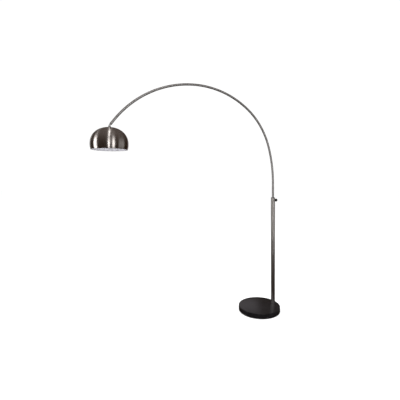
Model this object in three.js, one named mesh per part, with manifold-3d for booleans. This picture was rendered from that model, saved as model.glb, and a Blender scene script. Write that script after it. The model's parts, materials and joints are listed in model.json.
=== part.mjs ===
// Arc floor lamp: a stone base carries an upright pole. A long curved tube slides and turns in the
// pole, and a dome shade hangs on its far end. Millimetres, +Z up, origin at the centre of the
// underside of the base. The arc reaches out towards -X.
import * as THREE from 'three';
import { mergeVertices } from 'three/addons/utils/BufferGeometryUtils.js';
import Module from 'manifold-3d';

const wasm = await Module();
wasm.setup();

// ---------- driving dimensions ----------
const GAP = 0.3;                    // between pieces that touch or are cut to fit

const BASE_RADIUS = 192.5;
const PAD_THICKNESS = 3;
const BASE_TOP = 46;
const BASE_BEVEL = 2;
const POLE_X = 154;
const POLE_RADIUS = 19;
const POLE_WALL = 2;
const POLE_SEAT_DEPTH = 5;
const POLE_TOP = 1054.5;
const GROMMET_Z = BASE_TOP + 30;
const KNOB_Z = 1032.5;
const LEAD_RADIUS = 2.8;

const TUBE_RADIUS = 10;
const TUBE_WALL = 1.2;
const LEG_BOTTOM = 760;
const LEG_TOP = 1200;               // where the straight leg ends and the arc begins
const ARC_BENDS = [                 // radius in mm and turn in degrees, from the leg to the shade
  [1214, 17.1],
  [666, 36.9],
  [803, 37.4],
  [866, 52.6],
];
const ARC_END_STRAIGHT = 50;        // last stretch, before the knuckle
const SECTION_LENGTH = 800;         // of each arc tube that shows
const SPIGOT_REACH = 60;            // of a spigot into each tube
const TUBE_SIDES = 12;

const SHADE_RADIUS = 143;
const SHADE_EQUATOR_Z = 1511;
const SHADE_TOP_Z = 1641;
const SHADE_RIM_Z = 1467;
const SHADE_WALL = 1.2;
const SHADE_SEAT_RADIUS = 14;       // of the flat round its top hole
const SHADE_FULLNESS = 2.15;        // 2 would make its section a plain ellipse, more a fuller one

const TONGUE_THICKNESS = 6;
const TONGUE_RADIUS = 7;
const PIVOT_RADIUS = 2.5;
const PLUG_START = 12;              // from the pivot to the shoulder of the plug

const BULB_RADIUS = 30;

// ---------- the line of the arm ----------
const rad = THREE.MathUtils.degToRad;
const LEG_LENGTH = LEG_TOP - LEG_BOTTOM;
const ARM_LENGTH = ARC_BENDS.reduce(
  (sum, [radius, turn]) => sum + radius * rad(turn), LEG_LENGTH + ARC_END_STRAIGHT);

// Point and travel direction on the arm's centreline, a distance along it from the foot of the leg.
// Travel starts straight up and turns towards -X.
function armAt(distance) {
  let x = POLE_X;
  let z = LEG_TOP;
  let heading = 0;
  let left = distance - LEG_LENGTH;
  if (left <= 0) {
    return { point: new THREE.Vector3(POLE_X, 0, LEG_TOP + left), heading };
  }
  for (const [radius, turn] of ARC_BENDS) {
    const angle = Math.min(left / radius, rad(turn));
    x -= radius * (Math.cos(heading) - Math.cos(heading + angle));
    z += radius * (Math.sin(heading + angle) - Math.sin(heading));
    heading += angle;
    left -= angle * radius;
  }
  x -= left * Math.sin(heading);
  z += left * Math.cos(heading);
  return { point: new THREE.Vector3(x, 0, z), heading };
}

class ArmStretch extends THREE.Curve {
  constructor(from, to) {
    super();
    this.from = from;
    this.to = to;
  }

  getPoint(t, target = new THREE.Vector3()) {
    return target.copy(armAt(THREE.MathUtils.lerp(this.from, this.to, t)).point);
  }
}

// ---------- shapes ----------
// A closed outline [radius, height] turned round the Z axis.
function turned(outline, segments = 20) {
  const points = outline.map(([r, z]) => new THREE.Vector2(r, z));
  const onAxis = points[0].x === 0 && points.at(-1).x === 0;
  if (!onAxis) {
    points.push(points[0].clone());
  }
  if (THREE.ShapeUtils.area(points) < 0) {
    points.reverse();
  }
  return new THREE.LatheGeometry(points, segments).rotateX(Math.PI / 2);
}

function rod(radius, bottom, top, segments = 14) {
  return turned([[0, bottom], [radius, bottom], [radius, top], [0, top]], segments);
}

function ring(inner, outer, bottom, top, segments = 20) {
  return turned([[inner, bottom], [outer, bottom], [outer, top], [inner, top]], segments);
}

function prism(sides, radius, bottom, top) {
  return rod(radius, bottom, top, sides);
}

// A round bar or tube that follows a curve.
function along(curve, radius, bore, steps, sides = TUBE_SIDES) {
  const section = new THREE.Shape().absarc(0, 0, radius, 0, 2 * Math.PI);
  if (bore > 0) {
    section.holes.push(new THREE.Path().absarc(0, 0, bore, 0, 2 * Math.PI));
  }
  // A full circle is drawn with two points for each curve segment.
  return new THREE.ExtrudeGeometry(section, { steps, extrudePath: curve, curveSegments: sides / 2 });
}

function toSolid(geometry) {
  const bare = geometry.clone();
  bare.deleteAttribute('normal');
  bare.deleteAttribute('uv');
  const merged = mergeVertices(bare, 1e-3);
  return new wasm.Manifold(new wasm.Mesh({
    numProp: 3,
    vertProperties: new Float32Array(merged.attributes.position.array),
    triVerts: new Uint32Array(merged.index.array),
  }));
}

function toGeometry(solid) {
  const mesh = solid.getMesh();
  const geometry = new THREE.BufferGeometry();
  geometry.setAttribute('position', new THREE.BufferAttribute(mesh.vertProperties, 3));
  geometry.setIndex(new THREE.BufferAttribute(mesh.triVerts, 1));
  return geometry;
}

function cut(geometry, ...tools) {
  return toGeometry(tools.reduce((solid, tool) => solid.subtract(toSolid(tool)), toSolid(geometry)));
}

function join(geometry, ...others) {
  return toGeometry(others.reduce((solid, other) => solid.add(toSolid(other)), toSolid(geometry)));
}

// ---------- materials ----------
const finish = (color, roughness, metalness) => ({ color, roughness, metalness });
const BLACK_STONE = finish(0x2a282a, 0.35, 0);
const SATIN_STEEL = finish(0x8d8a87, 0.35, 1);
const DARK_STEEL = finish(0x6f6a68, 0.3, 1);
const BLACK_PLASTIC = finish(0x141414, 0.45, 0);
const RUBBER = finish(0x1b1b1b, 0.9, 0);
const ZINC = finish(0xa5a7a8, 0.4, 1);
const BRASS = finish(0xb08d4f, 0.35, 1);
const LEAD_SHEATH = finish(0x202020, 0.6, 0);
const WHITE_GLASS = finish(0xf3f1ea, 0.25, 0);

const lamp = new THREE.Group();

function addTo(group, name, geometry, look) {
  const mesh = new THREE.Mesh(geometry, new THREE.MeshStandardMaterial(look));
  mesh.name = name;
  group.add(mesh);
  return mesh;
}

// A group whose own Z axis is the pole's axis.
const pole = new THREE.Group();
pole.position.x = POLE_X;
lamp.add(pole);

// ---------- base ----------
const BOLT_RADIUS = 5;
const BOLT_POCKET_DEPTH = 17;
const BOLT_POCKET_RADIUS = 23;
const BOLT_REACH = 32;              // above the floor of the pole's seat
const FOOT_PLUG_HEIGHT = 24;
const SEAT_FLOOR = BASE_TOP - POLE_SEAT_DEPTH;
const POCKET_ROOF = PAD_THICKNESS + BOLT_POCKET_DEPTH;

function buildBase() {
  const bottom = PAD_THICKNESS + GAP;
  const slab = turned([
    [0, bottom],
    [BASE_RADIUS - BASE_BEVEL, bottom],
    [BASE_RADIUS, bottom + BASE_BEVEL],
    [BASE_RADIUS, BASE_TOP - BASE_BEVEL],
    [BASE_RADIUS - BASE_BEVEL, BASE_TOP],
    [0, BASE_TOP],
  ], 64);
  const seat = rod(POLE_RADIUS + 2 * GAP, SEAT_FLOOR, BASE_TOP + 1, 28).translate(POLE_X, 0, 0);
  const bore = rod(BOLT_RADIUS + 1, 0, BASE_TOP, 20).translate(POLE_X, 0, 0);
  const pocket = rod(BOLT_POCKET_RADIUS, 0, POCKET_ROOF, 28).translate(POLE_X, 0, 0);
  addTo(lamp, 'base_slab', cut(slab, seat, bore, pocket), BLACK_STONE);

  const padInset = 4;
  const pad = rod(BASE_RADIUS - padInset, 0, PAD_THICKNESS, 48);
  const access = rod(BOLT_POCKET_RADIUS, -1, PAD_THICKNESS + 1, 28).translate(POLE_X, 0, 0);
  addTo(lamp, 'base_pad', cut(pad, access), RUBBER);
}

function buildPoleFoot() {
  const hole = BOLT_RADIUS + GAP;
  const washerRadius = 20;
  const washerTop = POCKET_ROOF - GAP;
  const washerBottom = washerTop - 2.5;
  const lockRadius = 9;
  const lockTop = washerBottom - GAP;
  const lockBottom = lockTop - 2;
  const headRadius = 9.6;             // to the corners of its hexagon
  const headTop = lockBottom - GAP;
  const headBottom = headTop - 7;
  addTo(pole, 'pole_bolt_washer', ring(hole, washerRadius, washerBottom, washerTop), ZINC);
  addTo(pole, 'pole_bolt_lock_washer', ring(hole, lockRadius, lockBottom, lockTop), ZINC);
  const shank = rod(BOLT_RADIUS, headTop - 1, SEAT_FLOOR + BOLT_REACH);
  addTo(pole, 'pole_bolt', join(prism(6, headRadius, headBottom, headTop), shank), ZINC);

  const plugRadius = POLE_RADIUS - POLE_WALL - GAP;
  const plug = ring(hole, plugRadius, SEAT_FLOOR + GAP, SEAT_FLOOR + FOOT_PLUG_HEIGHT);
  addTo(pole, 'pole_foot_plug', plug, ZINC);
}

// ---------- pole ----------
const BUSH_DEPTH = 55;
const BUSH_COLLAR = 4.5;            // stands above the pole's end
const BUSH_EDGE = 1.5;
const STUD_RADIUS = 3;
const INSERT_RADIUS = 5;
const INSERT_START = TUBE_RADIUS + 4.6;
const GROMMET_RADIUS = 6.5;

// Tools and pieces made upright are laid along +X or +Y from the pole's axis.
const towardsX = (geometry, z) => geometry.rotateY(Math.PI / 2).translate(0, 0, z);
const towardsY = (geometry, z) => geometry.rotateX(-Math.PI / 2).translate(0, 0, z);

function buildPole() {
  const inner = POLE_RADIUS - POLE_WALL;
  const tube = ring(inner, POLE_RADIUS, SEAT_FLOOR + GAP, POLE_TOP, 30);
  const through = [inner - 4, POLE_RADIUS + 4];
  const knobHole = towardsX(rod(INSERT_RADIUS + GAP, ...through, 20), KNOB_Z);
  const grommetHole = towardsY(rod(GROMMET_RADIUS, ...through, 20), GROMMET_Z);
  addTo(pole, 'pole_tube', cut(tube, knobHole, grommetHole), SATIN_STEEL);

  const bushBore = TUBE_RADIUS + GAP;
  const bush = turned([
    [bushBore, POLE_TOP - BUSH_DEPTH],
    [inner - GAP, POLE_TOP - BUSH_DEPTH],
    [inner - GAP, POLE_TOP + GAP],
    [POLE_RADIUS, POLE_TOP + GAP],
    [POLE_RADIUS, POLE_TOP + BUSH_COLLAR - BUSH_EDGE],
    [POLE_RADIUS - BUSH_EDGE, POLE_TOP + BUSH_COLLAR],
    [bushBore, POLE_TOP + BUSH_COLLAR],
  ], 24);
  const insertSeat = towardsX(rod(INSERT_RADIUS + GAP, 0, POLE_RADIUS + 4, 20), KNOB_Z);
  addTo(pole, 'pole_top_bush', cut(bush, insertSeat), BLACK_PLASTIC);

  const insert = ring(STUD_RADIUS + GAP, INSERT_RADIUS, INSERT_START, POLE_RADIUS - 0.2, 18);
  addTo(pole, 'clamp_insert', towardsX(insert, KNOB_Z), BRASS);

  // The flanges of the grommet hug the round wall from inside and outside.
  const leadHole = LEAD_RADIUS + GAP;
  const lip = 1.5;
  const flanges = ring(leadHole, GROMMET_RADIUS + lip, inner - 4.5, POLE_RADIUS + 2, 20);
  const wall = ring(inner - GAP, POLE_RADIUS + GAP, GROMMET_Z - 20, GROMMET_Z + 20, 30);
  const neck = ring(leadHole, GROMMET_RADIUS - GAP, inner - 4, POLE_RADIUS + 1.8, 20);
  const grommet = join(cut(towardsY(flanges, GROMMET_Z), wall), towardsY(neck, GROMMET_Z));
  addTo(pole, 'lead_grommet', grommet, RUBBER);

  const leadRoute = new THREE.CatmullRomCurve3([
    new THREE.Vector3(0, inner - 8, GROMMET_Z),
    new THREE.Vector3(0, 2, GROMMET_Z + 25),
    new THREE.Vector3(0, 0, GROMMET_Z + 60),
    new THREE.Vector3(0, 0, 400),
    new THREE.Vector3(0, 0, 630),
  ], false, 'centripetal');
  addTo(pole, 'pole_lead', along(leadRoute, LEAD_RADIUS, 0, 22, 6), LEAD_SHEATH);
}

// ---------- clamp ----------
const KNOB_RADIUS = 13.5;
const KNOB_STANDOFF = 1;            // of the hub from the pole
const KNOB_LENGTH = 23;
const STUD_GRIP = 8;                // of the stud inside the knob

function buildClamp() {
  const padStart = TUBE_RADIUS + 0.1;
  const padEnd = padStart + 2;
  const pad = rod(INSERT_RADIUS - 1, padStart, padEnd, 16);
  addTo(pole, 'clamp_pad', towardsX(pad, KNOB_Z), BLACK_PLASTIC);

  const knobStart = POLE_RADIUS + KNOB_STANDOFF;
  const knobEnd = knobStart + KNOB_LENGTH;
  const studEnd = knobStart + STUD_GRIP;
  const stud = rod(STUD_RADIUS, padEnd + GAP, studEnd, 16);
  addTo(pole, 'clamp_stud', towardsX(stud, KNOB_Z), ZINC);
  const knob = turned([
    [STUD_RADIUS + GAP, knobStart],
    [7.5, knobStart],
    [8, knobStart + 4.5],
    [KNOB_RADIUS - 1, knobStart + 5.5],
    [KNOB_RADIUS, knobStart + 7],
    [KNOB_RADIUS, knobEnd - 3],
    [KNOB_RADIUS - 2.5, knobEnd - 0.6],
    [0, knobEnd],
    [0, studEnd + GAP],
    [STUD_RADIUS + GAP, studEnd + GAP],
  ], 24);
  addTo(pole, 'clamp_knob', towardsX(knob, KNOB_Z), BLACK_PLASTIC);
}

// ---------- arm ----------
const FIRST_JOINT = POLE_TOP - LEG_BOTTOM + SECTION_LENGTH;
const SECOND_JOINT = FIRST_JOINT + SECTION_LENGTH;
const TUBE_BORE = TUBE_RADIUS - TUBE_WALL;
const PLUG_SHOULDER = 8;            // length of the plug that shows past the tube
const PLUG_DEPTH = 26;              // length of the plug inside the tube
const TUBE_END = PLUG_START + PLUG_SHOULDER;
const SPIGOT_SCREW_RADIUS = 2;
const SPIGOT_SCREW_AT = 12;         // before each joint

// A geometry made upright round its own origin, set on the arm's line with its Z along the travel.
function onArm(distance, geometry) {
  const { point, heading } = armAt(distance);
  return geometry.rotateY(-heading).translate(point.x, point.y, point.z);
}

// A radial screw, or the hole for one, in the underside of the arc.
function underArc(distance, radius, from, to) {
  return onArm(distance, rod(radius, from, to, 12).rotateY(-Math.PI / 2));
}

function buildArm() {
  const holeRadius = SPIGOT_SCREW_RADIUS + GAP;
  const screwStart = TUBE_BORE - 3;
  const tube = (from, to, steps) => (
    along(new ArmStretch(from + GAP / 2, to - GAP / 2), TUBE_RADIUS, TUBE_BORE, steps)
  );
  const drilledTube = (from, to, steps) => (
    cut(tube(from, to, steps), underArc(to - SPIGOT_SCREW_AT, holeRadius, screwStart, TUBE_RADIUS + 2))
  );

  addTo(lamp, 'lower_arc_tube', drilledTube(0, FIRST_JOINT, 18), SATIN_STEEL);
  addTo(lamp, 'middle_arc_tube', drilledTube(FIRST_JOINT, SECOND_JOINT, 13), SATIN_STEEL);
  addTo(lamp, 'end_arc_tube', tube(SECOND_JOINT, ARM_LENGTH - TUBE_END, 12), SATIN_STEEL);

  for (const [name, joint] of [['lower_spigot', FIRST_JOINT], ['upper_spigot', SECOND_JOINT]]) {
    const line = new ArmStretch(joint - SPIGOT_REACH, joint + SPIGOT_REACH);
    const sleeve = along(line, TUBE_BORE - 4 * GAP, TUBE_BORE - 3.4, 4, 10);
    const screwAt = joint - SPIGOT_SCREW_AT;
    addTo(lamp, name, cut(sleeve, underArc(screwAt, holeRadius, 0, TUBE_RADIUS)), ZINC);
    const screw = underArc(screwAt, SPIGOT_SCREW_RADIUS, screwStart, TUBE_RADIUS - 0.2);
    addTo(lamp, `${name}_screw`, screw, DARK_STEEL);
  }

  const leadLine = new ArmStretch(-5, ARM_LENGTH - TUBE_END - PLUG_DEPTH - 2);
  addTo(lamp, 'arm_lead', along(leadLine, LEAD_RADIUS, 0, 30, 6), LEAD_SHEATH);

  // The glide sleeve fills the pole's bore and is kept on the leg by a clip above and below.
  const sleeveBottom = LEG_BOTTOM + 10;
  const sleeveTop = sleeveBottom + 40;
  addTo(pole, 'glide_sleeve',
    ring(TUBE_RADIUS + GAP, POLE_RADIUS - POLE_WALL - GAP, sleeveBottom, sleeveTop), BLACK_PLASTIC);
  const clipHeight = 2;
  const clip = (bottom) => (
    ring(TUBE_RADIUS + GAP, TUBE_RADIUS + 3, bottom, bottom + clipHeight, 20)
  );
  addTo(pole, 'leg_clip_lower', clip(sleeveBottom - clipHeight - GAP), ZINC);
  addTo(pole, 'leg_clip_upper', clip(sleeveTop + GAP), ZINC);
}

// ---------- knuckle ----------
const { point: PIVOT, heading: END_HEADING } = armAt(ARM_LENGTH);

function buildArcEndPlug() {
  // Made with the pivot at its origin and the arm arriving from below, along +Z.
  const insideRadius = TUBE_BORE - 2 * GAP;
  const bevel = 1.5;
  const plug = turned([
    [0, -TUBE_END - PLUG_DEPTH],
    [insideRadius, -TUBE_END - PLUG_DEPTH],
    [insideRadius, -TUBE_END + GAP],
    [TUBE_RADIUS, -TUBE_END + GAP],
    [TUBE_RADIUS, -PLUG_START - bevel],
    [TUBE_RADIUS - bevel, -PLUG_START],
    [0, -PLUG_START],
  ], 20);
  const half = TONGUE_THICKNESS / 2;
  const tongue = new THREE.BoxGeometry(2 * TONGUE_RADIUS, TONGUE_THICKNESS, PLUG_START + 4)
    .translate(0, 0, -(PLUG_START + 4) / 2);
  const tip = rod(TONGUE_RADIUS, -half, half, 20).rotateX(Math.PI / 2);
  const eye = rod(PIVOT_RADIUS + GAP, -half - 1, half + 1).rotateX(Math.PI / 2);
  const leadHole = rod(LEAD_RADIUS + GAP, -TUBE_END - PLUG_DEPTH - 1, -PLUG_START - 10);
  const shape = cut(join(plug, tongue, tip), eye, leadHole);
  const mesh = addTo(lamp, 'arc_end_plug', shape, SATIN_STEEL);
  mesh.position.copy(PIVOT);
  mesh.rotation.y = -END_HEADING;
}

// ---------- shade head, in a group with its origin at the pivot ----------
const head = new THREE.Group();
head.position.copy(PIVOT);
lamp.add(head);

const LOCAL_SHADE_TOP = SHADE_TOP_Z - PIVOT.z;
const NIPPLE_RADIUS = 5;
const FORK_FLOOR = LOCAL_SHADE_TOP + 1.5;
const FORK_FOOT_HEIGHT = 4;
const FORK_RADIUS = 7.5;            // of its round top, and half the width of its cheeks
const CHEEK = 4.5;

function buildFork() {
  const slotHalf = TONGUE_THICKNESS / 2 + GAP;
  const cheekHalf = slotHalf + CHEEK;
  const foot = turned([
    [0, FORK_FLOOR + GAP],
    [12, FORK_FLOOR + GAP],
    [12, FORK_FLOOR + FORK_FOOT_HEIGHT - 1.5],
    [10.5, FORK_FLOOR + FORK_FOOT_HEIGHT],
    [0, FORK_FLOOR + FORK_FOOT_HEIGHT],
  ], 28);
  const block = new THREE.BoxGeometry(2 * FORK_RADIUS, 2 * cheekHalf, -FORK_FLOOR - 1)
    .translate(0, 0, (FORK_FLOOR + 1) / 2);
  const crown = rod(FORK_RADIUS, -cheekHalf, cheekHalf, 24).rotateX(Math.PI / 2);
  const slotDepth = 40;
  const slot = new THREE.BoxGeometry(slotDepth, 2 * slotHalf, slotDepth)
    .translate(0, 0, FORK_FLOOR + FORK_FOOT_HEIGHT + slotDepth / 2);
  const eye = rod(PIVOT_RADIUS + GAP, -20, 20).rotateX(Math.PI / 2);
  const nippleHole = rod(NIPPLE_RADIUS + GAP, FORK_FLOOR - 5, FORK_FLOOR + 2.5);
  addTo(head, 'knuckle_fork', cut(join(foot, block, crown), slot, eye, nippleHole), SATIN_STEEL);

  const headStart = -cheekHalf - GAP;
  const headRadius = 4.4;
  const headHeight = 3;
  const screwEnd = cheekHalf + 4.2;
  const screw = turned([
    [0, headStart - headHeight],
    [headRadius - 1, headStart - headHeight],
    [headRadius, headStart - headHeight + 1],
    [headRadius, headStart],
    [PIVOT_RADIUS, headStart],
    [PIVOT_RADIUS, screwEnd],
    [0, screwEnd],
  ], 20);
  addTo(head, 'knuckle_screw', screw.rotateX(-Math.PI / 2), ZINC);
  const nut = cut(prism(6, 4.6, cheekHalf + GAP, cheekHalf + 3.6),
    rod(PIVOT_RADIUS + GAP / 2, cheekHalf - 1, cheekHalf + 5));
  addTo(head, 'knuckle_nut', nut.rotateX(-Math.PI / 2), ZINC);
}

function buildShadeFixing() {
  const inside = LOCAL_SHADE_TOP - SHADE_WALL;
  const hole = NIPPLE_RADIUS + GAP;
  const nippleBore = 3.6;
  addTo(head, 'shade_washer_outer', ring(hole, 13, LOCAL_SHADE_TOP + GAP, FORK_FLOOR, 28), ZINC);
  addTo(head, 'shade_nipple',
    ring(nippleBore, NIPPLE_RADIUS, inside - 17, FORK_FLOOR + 2.2, 20), ZINC);
  const washerTop = inside - GAP;
  const washerBottom = washerTop - 2;
  addTo(head, 'shade_washer_inner', ring(hole, 12, washerBottom, washerTop, 24), ZINC);
  const nutTop = washerBottom - GAP;
  const nutBottom = nutTop - 3;
  addTo(head, 'nipple_nut', cut(prism(6, 8, nutBottom, nutTop),
    rod(NIPPLE_RADIUS + GAP / 2, nutBottom - 1, nutTop + 1, 20)), BRASS);
}

// The dome's section is a superellipse above its widest line, with a flat seat for the washers at
// its top, and it pulls in a little below the widest line.
function domeOutline(inset) {
  const radius = SHADE_RADIUS - inset;
  const crown = SHADE_TOP_Z - SHADE_EQUATOR_Z - inset;
  const power = 2 / SHADE_FULLNESS;
  const swell = (share) => Math.sign(share) * Math.abs(share) ** power;
  const drop = (SHADE_EQUATOR_Z - SHADE_RIM_Z) / (SHADE_TOP_Z - SHADE_EQUATOR_Z);
  const rimAngle = -Math.asin(drop ** (1 / power));
  const seatAngle = Math.acos((SHADE_SEAT_RADIUS / radius) ** (1 / power));
  const steps = 12;
  const points = [];
  for (let i = 0; i <= steps; i += 1) {
    const angle = THREE.MathUtils.lerp(rimAngle, seatAngle, i / steps);
    const height = crown * swell(Math.sin(angle)) / swell(Math.sin(seatAngle));
    points.push([radius * swell(Math.cos(angle)), SHADE_EQUATOR_Z + height - PIVOT.z]);
  }
  points[0][1] = SHADE_RIM_Z - PIVOT.z;
  points.push([NIPPLE_RADIUS + GAP, points[steps][1]]);
  return points;
}

function buildShade() {
  const outline = [...domeOutline(0), ...domeOutline(SHADE_WALL).reverse()];
  addTo(head, 'shade', turned(outline, 40), DARK_STEEL);
}

const HOLDER_RADIUS = 19;
const SKIRT_RADIUS = 17;
const CONTACT_HEIGHT = 11;

function buildLampholder() {
  const capTop = LOCAL_SHADE_TOP - SHADE_WALL - 7;
  const capBottom = capTop - 24;
  const shoulder = capTop - 8;
  const capBore = HOLDER_RADIUS - 2.4;
  const cap = turned([
    [NIPPLE_RADIUS + GAP, capTop],
    [HOLDER_RADIUS - 5, capTop],
    [HOLDER_RADIUS, shoulder],
    [HOLDER_RADIUS, capBottom],
    [capBore, capBottom],
    [capBore, shoulder],
    [NIPPLE_RADIUS + GAP, capTop - 3],
  ], 22);
  addTo(head, 'holder_cap', cap, BLACK_PLASTIC);

  const skirtBottom = capBottom - 30;
  const skirtBore = SKIRT_RADIUS - 2.8;
  const contactRadius = 4;
  const body = turned([
    [skirtBore, skirtBottom],
    [SKIRT_RADIUS, skirtBottom],
    [SKIRT_RADIUS, capBottom - 6],
    [HOLDER_RADIUS, capBottom - 5],
    [HOLDER_RADIUS, capBottom - GAP],
    [capBore - 0.4, capBottom - GAP],
    [capBore - 0.4, capBottom + 8],
    [contactRadius + 0.5, capBottom + 8],
    [contactRadius + 0.5, capBottom + 5],
    [skirtBore, capBottom + 5],
  ], 22);
  addTo(head, 'holder_body', body, BLACK_PLASTIC);
  const ringTop = capBottom - 13;
  addTo(head, 'holder_ring', ring(SKIRT_RADIUS + GAP, 23, ringTop - 4, ringTop, 22), BLACK_PLASTIC);
  addTo(head, 'holder_contact', turned([
    [0, capBottom + 1],
    [contactRadius - 1, capBottom + 1],
    [contactRadius, capBottom + 3],
    [contactRadius, capBottom + CONTACT_HEIGHT],
    [0, capBottom + CONTACT_HEIGHT],
  ], 14), BRASS);

  const leadTop = new THREE.Vector3(0, 0, FORK_FLOOR);
  const leadEnd = new THREE.Vector3(0, 0, capBottom + CONTACT_HEIGHT + GAP);
  addTo(head, 'head_lead', along(new THREE.LineCurve3(leadTop, leadEnd), LEAD_RADIUS, 0, 4, 8),
    LEAD_SHEATH);
  return capBottom;
}

// Both pieces of the bulb are thin shells that open towards each other.
const BULB_CAP_RADIUS = 13;
const BULB_CAP_LENGTH = 26;
const BULB_CAP_WALL = 0.6;
const GLASS_WALL = 0.8;
const GLASS_NECK_RADIUS = 12.5;
const BULB_REACH = 48;              // from the cap's edge to the middle of the round end

function buildBulb(holderMouth) {
  const contactTop = holderMouth + 1 - GAP;
  const capEdge = contactTop - BULB_CAP_LENGTH;
  const capBore = BULB_CAP_RADIUS - BULB_CAP_WALL;
  addTo(head, 'bulb_cap', turned([
    [0, contactTop],
    [4, contactTop - 0.5],
    [BULB_CAP_RADIUS - 0.4, contactTop - 4],
    [BULB_CAP_RADIUS, contactTop - 6],
    [BULB_CAP_RADIUS, capEdge],
    [capBore, capEdge],
    [capBore, contactTop - 6],
    [4, contactTop - 1.5],
    [0, contactTop - 1.2],
  ], 24), ZINC);

  const glassTop = capEdge - GAP;
  const centre = glassTop - BULB_REACH;
  const glassOutline = (inset) => {
    const radius = BULB_RADIUS - inset;
    const outline = new THREE.SplineCurve([
      new THREE.Vector2(GLASS_NECK_RADIUS - inset, glassTop),
      new THREE.Vector2(GLASS_NECK_RADIUS + 1 - inset, glassTop - 7),
      new THREE.Vector2(20 - inset, glassTop - 22),
      new THREE.Vector2(BULB_RADIUS - 2 - inset, centre + 10),
      new THREE.Vector2(radius, centre),
    ]).getPoints(6).map((p) => [p.x, p.y]);
    const steps = 5;
    for (let i = 1; i < steps; i += 1) {
      const angle = (i / steps) * Math.PI / 2;
      outline.push([radius * Math.cos(angle), centre - radius * Math.sin(angle)]);
    }
    outline.push([0, centre - radius]);
    return outline;
  };
  const shell = [...glassOutline(0).reverse(), ...glassOutline(GLASS_WALL)];
  addTo(head, 'bulb_globe', turned(shell), WHITE_GLASS);
}

buildBase();
buildPoleFoot();
buildPole();
buildClamp();
buildArm();
buildArcEndPlug();
buildFork();
buildShadeFixing();
buildShade();
buildBulb(buildLampholder());

export default lamp;
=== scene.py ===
import json
import math

import bmesh
import bpy
from mathutils import Matrix, Vector

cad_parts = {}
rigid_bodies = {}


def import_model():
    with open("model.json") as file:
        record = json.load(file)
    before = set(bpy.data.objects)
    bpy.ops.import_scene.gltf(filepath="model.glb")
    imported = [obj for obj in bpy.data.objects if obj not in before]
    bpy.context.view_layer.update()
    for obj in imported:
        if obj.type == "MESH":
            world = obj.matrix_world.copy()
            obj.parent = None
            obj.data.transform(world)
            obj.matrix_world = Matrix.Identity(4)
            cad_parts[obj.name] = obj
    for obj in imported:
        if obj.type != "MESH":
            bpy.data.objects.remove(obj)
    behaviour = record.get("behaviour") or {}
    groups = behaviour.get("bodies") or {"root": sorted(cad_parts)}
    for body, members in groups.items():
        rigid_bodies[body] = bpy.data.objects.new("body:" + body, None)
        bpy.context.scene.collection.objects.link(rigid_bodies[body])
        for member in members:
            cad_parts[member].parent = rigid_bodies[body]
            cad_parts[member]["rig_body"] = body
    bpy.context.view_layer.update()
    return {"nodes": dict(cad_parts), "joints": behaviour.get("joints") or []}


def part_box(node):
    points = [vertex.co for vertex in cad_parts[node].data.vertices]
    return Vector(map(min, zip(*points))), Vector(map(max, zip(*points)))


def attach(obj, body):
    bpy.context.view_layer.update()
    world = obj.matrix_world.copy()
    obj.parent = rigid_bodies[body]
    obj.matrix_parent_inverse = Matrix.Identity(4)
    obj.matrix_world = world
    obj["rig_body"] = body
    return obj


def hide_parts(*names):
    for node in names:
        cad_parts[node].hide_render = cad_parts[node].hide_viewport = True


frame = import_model()

# Metres, in the part's frame: the floor is z = 0, and the arc reaches out from the pole towards -X.
MM = 0.001
GAP = 0.3 * MM


# ---------------------------------------------------------------- places taken from the frame
def low(node):
    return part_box(node)[0]


def high(node):
    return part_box(node)[1]


def middle(node):
    return (low(node) + high(node)) / 2


def half_width(node):
    """Radius of a node that is round in plan, or round an axis along X."""
    return (high(node).y - low(node).y) / 2


POLE_X = middle("pole_tube").x
POLE_RADIUS = half_width("pole_tube")
POLE_TOP = high("pole_tube").z
POLE_WALL = 2 * MM
POLE_BORE = POLE_RADIUS - POLE_WALL
KNOB_Z = middle("clamp_knob").z
GROMMET_Z = middle("lead_grommet").z
BASE_RADIUS = high("base_slab").y
BASE_TOP = high("base_slab").z
SEAT_FLOOR = low("pole_tube").z
SHADE_X = middle("shade").x
SHADE_RADIUS = half_width("shade")
SHADE_TOP = high("shade").z
SHADE_RIM = low("shade").z
SHADE_EQUATOR = 1.511
SHADE_WALL = 1.2 * MM
SHADE_FULLNESS = 2.15     # 2 would make its section a plain ellipse, more a fuller one
TILT = next(joint for joint in frame["joints"] if joint["name"] == "shade_tilt")
PIVOT = Vector(TILT["pos_m"])

# The line of the arm: a straight leg, then bends of a radius and a turn in degrees.
TUBE_RADIUS = 10 * MM
TUBE_BORE = 8.8 * MM
LEG_BOTTOM = 0.760
LEG_TOP = 1.200
ARC_BENDS = ((1.214, 17.1), (0.666, 36.9), (0.803, 37.4), (0.866, 52.6))
ARC_END_STRAIGHT = 0.050
SECTION_LENGTH = 0.800
SPIGOT_REACH = 0.060
LEG_LENGTH = LEG_TOP - LEG_BOTTOM
ARC_LENGTH = sum(radius * math.radians(turn) for radius, turn in ARC_BENDS)
ARM_LENGTH = LEG_LENGTH + ARC_LENGTH + ARC_END_STRAIGHT
FIRST_JOINT = POLE_TOP - LEG_BOTTOM + SECTION_LENGTH
SECOND_JOINT = FIRST_JOINT + SECTION_LENGTH
PLUG_START = 12 * MM
PLUG_SHOULDER = 8 * MM
PLUG_DEPTH = 26 * MM
PLUG_RADIUS = 8.2 * MM

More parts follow.
